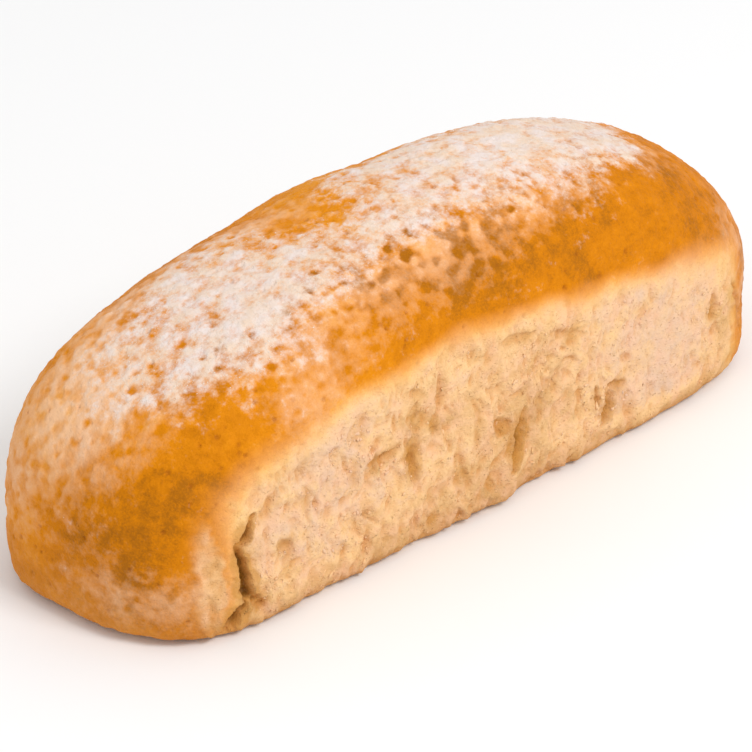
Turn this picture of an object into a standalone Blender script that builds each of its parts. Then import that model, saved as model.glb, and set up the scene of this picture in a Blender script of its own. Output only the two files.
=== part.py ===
"""Farmhouse loaf: a long batch-baked bread with a domed golden crust on top and round both ends.

It rose between two neighbours on the oven floor, so both long sides are pale and torn,
and the base is flat. X runs along the loaf, Y across it, Z up; metres.
"""

import math

import bmesh
import bpy
import numpy as np
from mathutils import Matrix, Vector

# Driving dimensions of the baked loaf
LOAF_LENGTH = 0.320
TORN_WIDTH = 0.110  # between the two torn sides
LOAF_HEIGHT = 0.110
HEART_HEIGHT = 0.0345  # where the dough spread widest, above the oven floor

# The dough would have spread to this width, had it no neighbours
FREE_WIDTH = 0.137
UNDERSIDE_DROP = 0.200  # how deep it would have bulged below its heart, had it no floor
FAR_END_WIDER = 0.04
FAR_END_TALLER = 0.07

# Squareness of the dough: 2 is an ellipse, more is boxier. Near end, then far end
PLAN_SQUARENESS = (2.95, 2.80)
CROWN_SQUARENESS = (2.50, 1.85)
UNDERSIDE_SQUARENESS = 3.1
EDGE_SHARPNESS = 14.0  # how sharply the dough turns onto a neighbour or the floor

# The cage that is pushed out to the dough's form
CELLS_ALONG = 56
CELLS_ACROSS = 18
CELLS_UP = 19

# Slow swells all over the dough: how many waves, the height of each, and their wavelengths
SWELL_COUNT = 18
SWELL_HEIGHT = 0.00022
SWELL_LENGTHS = (0.045, 0.130)
SWELL_SEED = 39

# Where the dough pushed out: along, across, height, reach and height of the bulge
BULGES = (
    (0.130, 0.002, 0.078, 0.032, 0.0055),
    (-0.118, -0.052, 0.010, 0.020, 0.0075),
    (-0.152, 0.028, 0.012, 0.024, 0.0030),
    (-0.128, 0.042, 0.062, 0.026, 0.0020),
)

# Soft vertical folds where the torn sides pulled apart
FOLD_DEPTH = 0.0010
FOLD_LENGTHS = (0.034, 0.023, 0.017)
FOLD_SLANT = 0.25  # sideways shift of a fold over its rise
TORN_ZONE = 0.90  # share of the half-width past which the surface counts as torn
SEAT_DEPTH = 0.0004  # the base is pressed flat this far up
SEAT_FADE = 0.015  # below this height the relief fades to a sideways push only

# Tears in the side towards -Y: along, height, length, width, depth in metres, slant in degrees
NEAR_TEARS = (
    (-0.1215, 0.0445, 0.0150, 0.0040, 0.0035, 30.0),
    (-0.1258, 0.0365, 0.0130, 0.0050, 0.0045, 20.0),
    (-0.1250, 0.0258, 0.0230, 0.0062, 0.0060, -12.0),
    (-0.1290, 0.0115, 0.0180, 0.0052, 0.0045, 42.0),
    (-0.1200, 0.0145, 0.0140, 0.0045, 0.0040, -32.0),
    (-0.1037, 0.0293, 0.0095, 0.0048, 0.0030, -55.0),
    (-0.0580, 0.0452, 0.0150, 0.0040, 0.0024, 81.0),
    (-0.0430, 0.0374, 0.0210, 0.0050, 0.0045, -3.0),
    (-0.0415, 0.0523, 0.0160, 0.0034, 0.0022, -3.0),
    (-0.0423, 0.0636, 0.0120, 0.0036, 0.0020, -56.0),
    (-0.0320, 0.0482, 0.0095, 0.0036, 0.0022, 0.0),
    (-0.0184, 0.0209, 0.0190, 0.0038, 0.0020, -18.0),
    (0.0086, 0.0253, 0.0240, 0.0056, 0.0045, 19.0),
    (0.0090, 0.0662, 0.0180, 0.0034, 0.0016, -85.0),
    (0.0340, 0.0590, 0.0220, 0.0036, 0.0018, -66.0),
    (0.0500, 0.0256, 0.0100, 0.0036, 0.0022, -7.0),
    (0.0567, 0.0180, 0.0130, 0.0048, 0.0036, 28.0),
    (0.0619, 0.0268, 0.0110, 0.0040, 0.0020, -58.0),
    (0.1143, 0.0375, 0.0140, 0.0032, 0.0016, -4.0),
)
FAR_TEAR_COUNT = 9
FAR_TEAR_SEED = 21

CRUST_COLOUR = (0.62, 0.27, 0.045, 1.0)
TORN_COLOUR = (0.90, 0.62, 0.33, 1.0)


def clear_scene():
    for old in list(bpy.data.objects):
        bpy.data.objects.remove(old, do_unlink=True)


def new_collection(name):
    collection = bpy.data.collections.new(name)
    bpy.context.scene.collection.children.link(collection)
    return collection


def new_material(name, colour, roughness):
    material = bpy.data.materials.new(name)
    material.use_nodes = True
    shader = material.node_tree.nodes["Principled BSDF"]
    shader.inputs["Base Color"].default_value = colour
    shader.inputs["Roughness"].default_value = roughness
    shader.inputs["Metallic"].default_value = 0.0
    return material


def smooth_most(values, sharpness):
    """The largest of the values, with the corners between them rounded."""
    return sum(value**sharpness for value in values) ** (1.0 / sharpness)


def dough_reach(direction):
    """How far the dough's surface lies from its heart, along each unit direction.

    Each limit on the dough is a gauge, 1 on its surface: a boxy ellipsoid for the dough
    itself, a plane for each neighbour, and a plane for the oven floor.
    """
    along, across, up = np.abs(direction).T
    far = 0.5 + 0.5 * direction[:, 0]
    plan_power = PLAN_SQUARENESS[0] * (1 - far) + PLAN_SQUARENESS[1] * far
    crown_power = CROWN_SQUARENESS[0] * (1 - far) + CROWN_SQUARENESS[1] * far
    rising = direction[:, 2] > 0
    power = np.where(rising, crown_power, UNDERSIDE_SQUARENESS)
    depth = np.where(rising, LOAF_HEIGHT - HEART_HEIGHT, UNDERSIDE_DROP)

    in_plan = (along / (LOAF_LENGTH / 2)) ** plan_power + (across / (FREE_WIDTH / 2)) ** plan_power
    dough = (in_plan ** (power / plan_power) + (up / depth) ** power) ** (1 / power)
    neighbour = across / (TORN_WIDTH / 2)
    floor = np.where(rising, 0.0, up) / HEART_HEIGHT
    return 1.0 / smooth_most((dough, neighbour, floor), EDGE_SHARPNESS)


def swell(points):
    """Height of the slow swells of the crust: waves that run in seeded directions."""
    draw = np.random.RandomState(SWELL_SEED)
    height = np.zeros(len(points))
    for length in np.geomspace(*SWELL_LENGTHS, SWELL_COUNT):
        heading = draw.normal(size=3)
        heading /= np.linalg.norm(heading)
        phase = draw.uniform(0, 2 * math.pi)
        height += SWELL_HEIGHT * np.sin(points @ heading * 2 * math.pi / length + phase)
    return height


def bulge(points):
    """Height of the places where the dough pushed out: a bell round each one's middle."""
    height = np.zeros(len(points))
    for *middle, reach, rise in BULGES:
        apart = np.linalg.norm(points - np.array(middle), axis=1)
        height += rise * np.exp(-((apart / reach) ** 2) / 2)
    return height


def soft_step(values):
    """0 below 0, 1 above 1, and an even S between."""
    share = np.clip(values, 0, 1)
    return share * share * (3 - 2 * share)


def torn_share(points):
    """0 on the crust and 1 on the torn sides."""
    share = np.abs(points[:, 1]) / (TORN_WIDTH / 2)
    return soft_step((share - TORN_ZONE) / (1 - TORN_ZONE))


def folds(points):
    """Depth of the soft folds that run up the torn sides, slanted a little."""
    draw = np.random.RandomState(SWELL_SEED + 1)
    across_folds = points[:, 0] + FOLD_SLANT * points[:, 2] * np.sign(points[:, 1])
    height = np.zeros(len(points))
    for length in FOLD_LENGTHS:
        wander = 0.5 * np.sin(points[:, 2] * 2 * math.pi / 0.05 + draw.uniform(0, 6))
        phase = draw.uniform(0, 2 * math.pi)
        height += np.sin(across_folds * 2 * math.pi / length + wander + phase)
    return FOLD_DEPTH * height / len(FOLD_LENGTHS)


def loaf_form(cage):
    """Each cage point, on a box round the heart, pushed out to the baked surface."""
    direction = cage / np.linalg.norm(cage, axis=1)[:, None]
    points = direction * dough_reach(direction)[:, None]
    points[:, 2] += HEART_HEIGHT
    far = points[:, 0] / (LOAF_LENGTH / 2)
    points[:, 1] *= 1 + FAR_END_WIDER * far
    points[:, 2] *= 1 + FAR_END_TALLER * far

    torn = torn_share(points)
    push = direction * (bulge(points) + swell(points) + folds(points) * torn)[:, None]
    push[:, 2] *= soft_step(points[:, 2] / SEAT_FADE)
    points += push
    points[:, 2] = np.maximum(points[:, 2], points[:, 2].min() + SEAT_DEPTH)
    return points


def cage_mesh():
    """A box round the loaf's heart, cut into even cells."""
    bpy.ops.mesh.primitive_cube_add(size=1)
    box = bpy.context.active_object
    mesh = bmesh.new()
    mesh.from_mesh(box.data)
    bpy.data.objects.remove(box, do_unlink=True)
    for axis, cells in enumerate((CELLS_ALONG, CELLS_ACROSS, CELLS_UP)):
        edges = [edge for edge in mesh.edges if runs_along(edge, axis)]
        bmesh.ops.subdivide_edges(mesh, edges=edges, cuts=cells - 1, use_grid_fill=True)
    low = Vector((-LOAF_LENGTH / 2, -TORN_WIDTH / 2, -HEART_HEIGHT))
    high = Vector((LOAF_LENGTH / 2, TORN_WIDTH / 2, LOAF_HEIGHT - HEART_HEIGHT))
    size = high - low
    bmesh.ops.scale(mesh, vec=size, verts=mesh.verts)
    bmesh.ops.translate(mesh, vec=(low + high) / 2, verts=mesh.verts)
    return mesh


def runs_along(edge, axis):
    run = edge.verts[1].co - edge.verts[0].co
    return abs(run[axis]) > 0.9 * run.length


def make_loaf(collection, crust, torn_crumb):
    mesh = cage_mesh()
    cage = np.array([vertex.co for vertex in mesh.verts])
    points = loaf_form(cage)
    middle = (points.min(axis=0) + points.max(axis=0)) / 2
    points -= (middle[0], middle[1], points[:, 2].min())
    for vertex, point in zip(mesh.verts, points):
        vertex.co = point
    bmesh.ops.triangulate(mesh, faces=mesh.faces)
    bmesh.ops.recalc_face_normals(mesh, faces=mesh.faces)

    data = bpy.data.meshes.new("loaf")
    mesh.to_mesh(data)
    mesh.free()
    data.materials.append(crust)
    data.materials.append(torn_crumb)
    centres = np.array([face.center for face in data.polygons])
    torn = (torn_share(centres) > 0.5) & (centres[:, 2] > 0.002)
    data.polygons.foreach_set("material_index", torn.astype(int))
    data.shade_smooth()
    loaf = bpy.data.objects.new("loaf", data)
    collection.objects.link(loaf)
    return loaf


def far_tears():
    """Tears for the side towards +Y: spread evenly along it, each a little different."""
    draw = np.random.RandomState(FAR_TEAR_SEED)
    reach = 0.76 * LOAF_LENGTH / 2
    for along in np.linspace(-reach, reach, FAR_TEAR_COUNT):
        along += draw.uniform(-0.007, 0.007)
        length = draw.uniform(0.011, 0.028)
        height = draw.uniform(0.018, 0.058)
        width = draw.uniform(0.0032, 0.0052)
        yield along, height, length, width, 0.7 * width, draw.uniform(-30, 30)


def cut_tears(loaf, collection, tears, side):
    """Opens each tear with a lens-shaped cutter, sunk in the torn side by the tear's depth."""
    for number, (along, height, length, width, depth, slant) in enumerate(tears):
        bpy.ops.mesh.primitive_uv_sphere_add(segments=8, ring_count=6, radius=0.5)
        cutter = bpy.context.active_object
        cutter.name = f"tear_{'near' if side < 0 else 'far'}_{number + 1}"
        hit = surface_point(loaf, along, height, side)
        turn = Matrix.Rotation(math.radians(slant), 4, "Y")
        size = Matrix.Diagonal((width, 2 * depth, length, 1))
        cutter.matrix_world = Matrix.Translation(hit) @ turn @ size
        for other in list(cutter.users_collection):
            other.objects.unlink(cutter)
        collection.objects.link(cutter)
        cutter.hide_render = True
        cutter.display_type = "WIRE"
        cut = loaf.modifiers.new(cutter.name, "BOOLEAN")
        cut.operation = "DIFFERENCE"
        cut.object = cutter


def surface_point(loaf, along, height, side):
    """The point on the loaf's long side at this place along it and this height."""
    start = Vector((along, side * TORN_WIDTH, height))
    found, place, _, _ = loaf.ray_cast(start, Vector((0, -side, 0)))
    if not found:
        raise ValueError(f"no side at {along:.3f}, {height:.3f}")
    return place


clear_scene()
loaf_parts = new_collection("farmhouse_loaf")
cutters = new_collection("cutters")
crust = new_material("golden_crust", CRUST_COLOUR, 0.55)
torn_crumb = new_material("torn_crumb", TORN_COLOUR, 0.90)
loaf = make_loaf(loaf_parts, crust, torn_crumb)
bpy.context.view_layer.update()
cut_tears(loaf, cutters, NEAR_TEARS, -1)
cut_tears(loaf, cutters, far_tears(), 1)
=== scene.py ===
"""Looks for the farmhouse loaf: baked skin, torn sides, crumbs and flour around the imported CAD.

Everything is in metres in the CAD's frame: X along the loaf, Y across it, Z up from the floor.
"""

import math

import bpy
import numpy as np
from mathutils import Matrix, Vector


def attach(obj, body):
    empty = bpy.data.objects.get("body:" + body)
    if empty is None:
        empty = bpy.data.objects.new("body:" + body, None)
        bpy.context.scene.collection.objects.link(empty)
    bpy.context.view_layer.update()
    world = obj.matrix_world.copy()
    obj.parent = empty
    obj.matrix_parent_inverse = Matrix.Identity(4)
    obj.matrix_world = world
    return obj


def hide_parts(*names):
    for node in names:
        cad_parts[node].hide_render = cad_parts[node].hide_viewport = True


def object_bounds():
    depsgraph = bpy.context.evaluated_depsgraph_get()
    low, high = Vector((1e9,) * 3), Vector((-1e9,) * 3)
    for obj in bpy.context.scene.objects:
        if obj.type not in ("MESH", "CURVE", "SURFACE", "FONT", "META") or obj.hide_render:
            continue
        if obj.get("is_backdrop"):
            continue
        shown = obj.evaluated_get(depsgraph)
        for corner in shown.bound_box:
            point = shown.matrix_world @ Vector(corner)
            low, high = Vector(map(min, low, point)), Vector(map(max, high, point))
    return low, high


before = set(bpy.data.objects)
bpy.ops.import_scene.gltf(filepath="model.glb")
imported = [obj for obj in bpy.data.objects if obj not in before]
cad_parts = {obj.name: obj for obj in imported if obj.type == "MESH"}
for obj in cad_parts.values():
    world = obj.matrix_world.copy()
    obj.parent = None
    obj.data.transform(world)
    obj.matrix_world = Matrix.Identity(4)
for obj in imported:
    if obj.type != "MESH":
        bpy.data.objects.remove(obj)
cad_low, cad_high = (np.array(corner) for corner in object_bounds())


# ---- The loaf -------------------------------------------------------------------------------
# One piece of white batch bread: wheat dough, set on the oven floor between two neighbours,
# floured and baked. It is golden over the top and round both ends. The long sides tore open
# when the batch was pulled apart, and the base baked flat on the oven floor.

LOAF_LENGTH = 0.320
TORN_WIDTH = 0.110
LOAF_HEIGHT = 0.110
HEART_HEIGHT = 0.0345  # of the point inside the loaf that its gauges are measured from
FREE_WIDTH = 0.137  # that the dough would spread to with no neighbours
UNDERSIDE_DROP = 0.200  # that it would hang below its heart with no oven floor
FAR_END_WIDER = 0.04
FAR_END_TALLER = 0.07
PLAN_SQUARENESS = (2.95, 2.80)  # towards -X, then towards +X
CROWN_SQUARENESS = (2.50, 1.85)
UNDERSIDE_SQUARENESS = 3.1
EDGE_SHARPNESS = 14.0
SWELL_COUNT = 18
SWELL_HEIGHT = 0.00022
SWELL_LENGTHS = (0.045, 0.130)
SWELL_SEED = 39
BULGES = (  # along, across, height, reach, rise
    (0.130, 0.002, 0.078, 0.032, 0.0055),
    (-0.118, -0.052, 0.010, 0.020, 0.0075),
    (-0.152, 0.028, 0.012, 0.024, 0.0030),
    (-0.128, 0.042, 0.062, 0.026, 0.0020),
)
FOLD_DEPTH = 0.0010
FOLD_LENGTHS = (0.034, 0.023, 0.017)
FOLD_SLANT = 0.25
FOLD_WANDER = (0.5, 0.05)  # radians either way, and the height over which it comes back
TORN_ZONE = 0.90  # of the torn width: the folds lie past it
SEAT_DEPTH = 0.0004
SEAT_FADE = 0.015


def soft_step(values):
    """0 below 0, 1 above 1, and an even S between: 3s^2 - 2s^3."""
    share = np.clip(values, 0.0, 1.0)
    return share * share * (3.0 - 2.0 * share)


def smooth_most(values, sharpness):
    """The largest of the values with its corners rounded: the root of the sum of their powers."""
    return sum(value**sharpness for value in values) ** (1.0 / sharpness)


def dough_reach(direction):
    """Distance from the heart to the surface along each unit direction.

    One over the smooth largest of three gauges: a boxy ellipsoid for the dough, a plane for
    each neighbour and a plane for the oven floor.
    """
    along, across, up = np.moveaxis(np.abs(direction), -1, 0)
    far = 0.5 + 0.5 * direction[..., 0]
    plan_power = PLAN_SQUARENESS[0] * (1 - far) + PLAN_SQUARENESS[1] * far
    crown_power = CROWN_SQUARENESS[0] * (1 - far) + CROWN_SQUARENESS[1] * far
    rising = direction[..., 2] > 0
    power = np.where(rising, crown_power, UNDERSIDE_SQUARENESS)
    depth = np.where(rising, LOAF_HEIGHT - HEART_HEIGHT, UNDERSIDE_DROP)
    in_plan = (along / (LOAF_LENGTH / 2)) ** plan_power + (across / (FREE_WIDTH / 2)) ** plan_power
    dough = (in_plan ** (power / plan_power) + (up / depth) ** power) ** (1 / power)
    neighbour = across / (TORN_WIDTH / 2)
    floor = np.where(rising, 0.0, up) / HEART_HEIGHT
    return 1.0 / smooth_most((dough, neighbour, floor), EDGE_SHARPNESS)


def slow_relief(points):
    """Swells, bulges and folds: plane waves in seeded directions, bells round a few middles,
    and waves along X on the torn sides that wander with height."""
    draw = np.random.RandomState(SWELL_SEED)
    height = np.zeros(points.shape[:-1])
    for length in np.geomspace(*SWELL_LENGTHS, SWELL_COUNT):
        heading = draw.normal(size=3)
        heading /= np.linalg.norm(heading)
        phase = draw.uniform(0, 2 * math.pi)
        height += SWELL_HEIGHT * np.sin(points @ heading * 2 * math.pi / length + phase)
    for *middle, reach, rise in BULGES:
        apart = np.linalg.norm(points - middle, axis=-1)
        height += rise * np.exp(-((apart / reach) ** 2) / 2)
    draw = np.random.RandomState(SWELL_SEED + 1)
    x, y, z = np.moveaxis(points, -1, 0)
    across_folds = x + FOLD_SLANT * z * np.sign(y)
    waves = np.zeros(points.shape[:-1])
    for length in FOLD_LENGTHS:
        wander = FOLD_WANDER[0] * np.sin(z * 2 * math.pi / FOLD_WANDER[1] + draw.uniform(0, 6))
        phase = draw.uniform(0, 2 * math.pi)
        waves += np.sin(across_folds * 2 * math.pi / length + wander + phase)
    side = soft_step((np.abs(y) / (TORN_WIDTH / 2) - TORN_ZONE) / (1 - TORN_ZONE))
    return height + side * FOLD_DEPTH * waves / len(FOLD_LENGTHS)


def baked_form(section, polar):
    """The loaf's form at a section angle (0 towards -Y, a quarter turn straight up) and a polar
    angle (0 towards -X, half a turn towards +X): the reach along that direction, widened and
    raised towards +X, pushed out by the slow relief and pressed flat underneath."""
    direction = np.stack(
        (-np.cos(polar), -np.sin(polar) * np.cos(section), np.sin(polar) * np.sin(section)), -1
    )
    points = direction * dough_reach(direction)[..., None]
    points[..., 2] += HEART_HEIGHT
    far = points[..., 0] / (LOAF_LENGTH / 2)
    points[..., 1] *= 1 + FAR_END_WIDER * far
    points[..., 2] *= 1 + FAR_END_TALLER * far
    push = direction * slow_relief(points)[..., None]
    push[..., 2] *= soft_step(points[..., 2] / SEAT_FADE)
    points += push
    points[..., 2] = np.maximum(points[..., 2], points[..., 2].min() + SEAT_DEPTH)
    return points


# The skin is one grid of rings from end to end, cut lengthwise into five gores: each has a name,
# the section angle in degrees where it starts, and its columns. Neighbours share an edge column
# and its normals, so no seam shows.
RINGS = 600
GORES = (
    ("torn_side_near", -38.0, 165),
    ("crown_near", 42.0, 130),
    ("crown_far", 90.0, 130),
    ("torn_side_far", 138.0, 165),
    ("base", 218.0, 48),
)
SECTION_STEPS = 2000  # fine steps round a gore, from which its even columns are read
LENGTH_STEPS = 1200  # and from end to end, for the even rings


def even_angles(start, stop, count):
    """Section angles that cut the middle section from start to stop into equal lengths."""
    fine = np.radians(np.linspace(start, stop, SECTION_STEPS + 1))
    ring = baked_form(fine, np.full(fine.shape, math.pi / 2))
    run = np.r_[0, np.cumsum(np.linalg.norm(np.diff(ring, axis=0), axis=1))]
    return np.interp(np.linspace(0, run[-1], count, endpoint=False), run, fine)


def even_rings(section):
    """For each column, polar angles that cut it from end to end into equal lengths."""
    fine = np.linspace(0, math.pi, LENGTH_STEPS + 1)[:, None] + np.zeros(len(section))
    lines = baked_form(section + np.zeros(fine.shape), fine)
    steps = np.linalg.norm(np.diff(lines, axis=0), axis=-1)
    run = np.vstack((np.zeros(len(section)), np.cumsum(steps, axis=0)))
    run /= run[-1]
    even = np.linspace(0, 1, RINGS + 1)
    return np.stack([np.interp(even, run[:, c], fine[:, c]) for c in range(len(section))], 1)


def outward(grid):
    """Unit normals: the slope along a column crossed with the slope round a ring. At the two
    ends, where a ring is a point, the neighbouring ring's mean stands in."""
    along = np.gradient(grid, axis=0)
    around = np.roll(grid, -1, axis=1) - np.roll(grid, 1, axis=1)
    normal = np.cross(along, around)
    normal /= np.maximum(np.linalg.norm(normal, axis=-1), np.finfo(float).tiny)[..., None]
    for end, beside in ((0, 1), (-1, -2)):
        mean = normal[beside].mean(axis=0)
        normal[end] = mean / np.linalg.norm(mean)
    return normal


starts = [start for _, start, _ in GORES] + [GORES[0][1] + 360.0]
section = np.concatenate(
    [even_angles(starts[n], starts[n + 1], GORES[n][2]) for n in range(len(GORES))]
)
polar = even_rings(section)
smooth_loaf = baked_form(section + np.zeros(polar.shape), polar)
low, high = smooth_loaf.min(axis=(0, 1)), smooth_loaf.max(axis=(0, 1))
smooth_loaf = cad_low + (smooth_loaf - low) * (cad_high - cad_low) / (high - low)
smooth_normal = outward(smooth_loaf)


LATTICE_VALUES = 65536
LATTICE_PRIMES = (73856093, 19349663, 83492791)


def lattice_place(corner):
    """Where each lattice corner's random value lies in the list of them: its three whole numbers,
    each times a large prime, joined by exclusive or and wrapped round the list."""
    key = corner * LATTICE_PRIMES
    return (key[..., 0] ^ key[..., 1] ^ key[..., 2]) % LATTICE_VALUES


def lattice_noise(points, cell, seed):
    """Smooth random values from -1 to 1: each corner of a lattice of that cell has its own, and a
    point takes their mean, weighted by S curves of where it lies between them."""
    values = np.random.RandomState(seed).uniform(-1, 1, LATTICE_VALUES)
    place = points / cell
    corner = np.floor(place).astype(np.int64)
    share = soft_step(place - corner)
    total = np.zeros(points.shape[:-1])
    for step in np.ndindex(2, 2, 2):
        weight = np.where(np.array(step, bool), share, 1 - share).prod(axis=-1)
        total += weight * values[lattice_place(corner + step)]
    return total


def layered(points, layers):
    """Sum of lattice noises, each of its own height, cell and seed."""
    return sum(rise * lattice_noise(points, cell, seed) for rise, cell, seed in layers)


def strayed(points, strays, ways=3):
    """A shift for each point in that many directions: the sum of lattice noises, each of its own
    distance, cell and first seed, with the next seed for the next direction."""
    return sum(
        far * np.stack([lattice_noise(points, cell, seed + way) for way in range(ways)], -1)
        for far, cell, seed in strays
    )


def nearest_seed(points, cell, seed):
    """Distance in cells to the nearest seed, where each lattice cell has one at a random place,
    and that seed's own random value from 0 to 1."""
    values = np.random.RandomState(seed).uniform(0, 1, (LATTICE_VALUES, 4))
    place = points / cell
    corner = np.floor(place).astype(np.int64)
    nearest = np.full(points.shape[:-1], np.inf)
    own_value = np.zeros(points.shape[:-1])
    for step in np.ndindex(3, 3, 3):
        own = values[lattice_place(corner + step - 1)]
        apart = np.linalg.norm(place - corner - np.array(step) + 1 - own[..., :3], axis=-1)
        nearer = apart < nearest
        nearest = np.where(nearer, apart, nearest)
        own_value = np.where(nearer, own[..., 3], own_value)
    return nearest, own_value


# Where the crust ends and the torn crumb starts: points along and up its line, which is a smooth
# curve fitted to them. Past the torn side's reach the crust goes down to the base.
CRUST_LINE = (
    (-0.130, 0.0520),
    (-0.105, 0.0595),
    (-0.085, 0.0670),
    (-0.060, 0.0745),
    (-0.030, 0.0748),
    (0.000, 0.0732),
    (0.050, 0.0706),
    (0.100, 0.0605),
    (0.132, 0.0545),
)
LINE_DEGREE = 5
TORN_REACH = (-0.1235, 0.1310)
CRUST_FADE = 0.0145  # over which pale crumb turns to crust half way along
END_FADE = (0.81, 0.47)  # how much wider the fade is towards -X, and towards +X
END_FADE_RISE = (0.060, 0.050)  # how far from the middle it starts to widen, and over how far
LINE_WANDER = ((0.0016, 0.014, 5), (0.0010, 0.005, 6))  # height, cell, seed
CORNER_SOFTNESS = 0.003  # where the crust line turns down at the torn side's ends
LARGEST_POWER = 60.0
PALE_STRIP = (-0.1335, 0.020, 0.0036, 0.015)  # crumb left of the big crack: middle, reaches
STRIP_SHARE = 0.85
STRIP_STEEPNESS = 1.4
STRIP_EDGE = ((0.8, 0.0046, 7), (0.4, 0.0020, 8))
SOLE_EDGE = (0.0022, 0.0018)  # height up to which the base wraps round, and its fade


def crust_margin(points):
    """Metres of crust between a point and the torn side, less than 0 inside it: the smooth largest
    of its height over the crust line and its distances past the torn side's two ends. The line is
    the polynomial that lies nearest its points."""
    x, _, z = np.moveaxis(points, -1, 0)
    along, up = np.array(CRUST_LINE).T
    line = np.polyval(np.polyfit(along, up, LINE_DEGREE), np.clip(x, along[0], along[-1]))
    limits = np.stack((z - line, TORN_REACH[0] - x, x - TORN_REACH[1]))
    powers = np.clip(limits / CORNER_SOFTNESS, -LARGEST_POWER, LARGEST_POWER)
    return layered(points, LINE_WANDER) + CORNER_SOFTNESS * np.log(sum(np.exp(powers)))


margin = crust_margin(smooth_loaf)
x, y, z = np.moveaxis(smooth_loaf, -1, 0)
overhead = np.degrees(np.arctan2(z - HEART_HEIGHT, -y))  # section angle of each point
end_fade = np.where(x < 0, *END_FADE)
end_fade = end_fade * soft_step((np.abs(x) - END_FADE_RISE[0]) / END_FADE_RISE[1])
torn = 1 - soft_step(margin / (CRUST_FADE * (1 + end_fade)) + 0.5)
strip = ((x - PALE_STRIP[0]) / PALE_STRIP[2]) ** 2 + ((z - PALE_STRIP[1]) / PALE_STRIP[3]) ** 2
strip = np.where(y < 0, np.exp(-strip / 2), 0.0)
ragged = layered(smooth_loaf, STRIP_EDGE)
torn = np.maximum(torn, STRIP_SHARE * soft_step(STRIP_STEEPNESS * strip * (1 + ragged)))
sole = soft_step((SOLE_EDGE[0] - z) / SOLE_EDGE[1])
torn *= 1 - sole

# Tears: along, height, length, width, depth, and the slant of the top towards +X in degrees. The
# first five join into the deep crack at the -X end of the near side, and the last lies along the
# crust at its other end.
NEAR_TEARS = (
    (-0.1196, 0.0405, 0.0160, 0.0036, 0.0036, 36.0),
    (-0.1226, 0.0300, 0.0150, 0.0042, 0.0040, -8.0),
    (-0.1213, 0.0205, 0.0150, 0.0050, 0.0058, -9.0),
    (-0.1256, 0.0086, 0.0160, 0.0050, 0.0046, 38.0),
    (-0.1172, 0.0122, 0.0100, 0.0040, 0.0030, -52.0),
    (-0.1026, 0.0283, 0.0105, 0.0050, 0.0014, -52.0),
    (-0.0580, 0.0452, 0.0150, 0.0040, 0.0016, 81.0),
    (-0.0430, 0.0374, 0.0210, 0.0046, 0.0024, -3.0),
    (-0.0415, 0.0523, 0.0160, 0.0034, 0.0012, -3.0),
    (-0.0423, 0.0636, 0.0120, 0.0034, 0.0010, -56.0),
    (-0.0320, 0.0482, 0.0095, 0.0036, 0.0016, 0.0),
    (-0.0184, 0.0209, 0.0190, 0.0038, 0.0012, -18.0),
    (0.0086, 0.0253, 0.0240, 0.0054, 0.0034, 19.0),
    (0.0090, 0.0662, 0.0180, 0.0034, 0.0011, -85.0),
    (0.0340, 0.0590, 0.0220, 0.0034, 0.0009, -66.0),
    (0.0500, 0.0256, 0.0100, 0.0036, 0.0018, -7.0),
    (0.0567, 0.0180, 0.0130, 0.0046, 0.0028, 28.0),
    (0.0619, 0.0268, 0.0110, 0.0040, 0.0018, -58.0),
    (0.1143, 0.0375, 0.0140, 0.0034, 0.0016, -4.0),
    (0.1345, 0.0300, 0.0320, 0.0030, 0.0014, -22.0),
)
FAR_TEAR_COUNT = 12
FAR_TEAR_SEED = 21
FAR_TEAR_REACH = 0.76  # of half the loaf
TEARS_PAST = 0.030  # from the loaf's middle plane
TEAR_STRAYS = ((0.0012, 0.0048, 11), (0.0008, 0.0019, 15))  # distance, cell, first seed
TEAR_FLOOR = ((0.35, 0.0026, 19),)
TEAR_SPREAD = 0.55  # of the width and the length, from the middle to the edge
TEAR_ROUNDING = 0.7
# The painted shade round a tear spreads over this many times the tear's width
TEAR_SHADE_WIDER = 2.2


def far_tears():
    """Tears of the far side: spread evenly along it, each drawn a little different."""
    draw = np.random.RandomState(FAR_TEAR_SEED)
    reach = FAR_TEAR_REACH * LOAF_LENGTH / 2
    for along in np.linspace(-reach, reach, FAR_TEAR_COUNT):
        along += draw.uniform(-0.010, 0.010)
        length = draw.uniform(0.009, 0.026)
        height = draw.uniform(0.014, 0.062)
        width = draw.uniform(0.0030, 0.0056)
        depth = width * draw.uniform(0.20, 0.70)
        yield along, height, length, width, depth, draw.uniform(-60, 60)


def tear_depth(points, tears, wider=1.0):
    """Depth of the deepest tear at each point: a rounded lens, whose outline is made ragged by
    shifting the point with noise before it is measured, and whose floor is rough."""
    shift = strayed(points, TEAR_STRAYS, 2)
    rough = 1 + layered(points, TEAR_FLOOR)
    deepest = np.zeros(points.shape[:-1])
    for along, height, length, width, depth, slant in tears:
        beside = points[..., 0] + shift[..., 0] - along
        above = points[..., 2] + shift[..., 1] - height
        lean = math.radians(slant)
        across = beside * math.cos(lean) - above * math.sin(lean)
        run = beside * math.sin(lean) + above * math.cos(lean)
        out = (across / (TEAR_SPREAD * wider * width)) ** 2 + (run / (TEAR_SPREAD * length)) ** 2
        deepest = np.maximum(deepest, depth * np.clip(1 - out, 0, 1) ** TEAR_ROUNDING)
    return deepest * rough


tears, tear_shades = np.zeros(x.shape), np.zeros(x.shape)  # painted shade: darker crumb round each tear, wider than the tear
for side, its_tears in ((-1, NEAR_TEARS), (1, list(far_tears()))):
    there = y * side > TEARS_PAST
    tears[there] = tear_depth(smooth_loaf[there], its_tears)
    tear_shades[there] = tear_depth(smooth_loaf[there], its_tears, TEAR_SHADE_WIDER)


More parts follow.
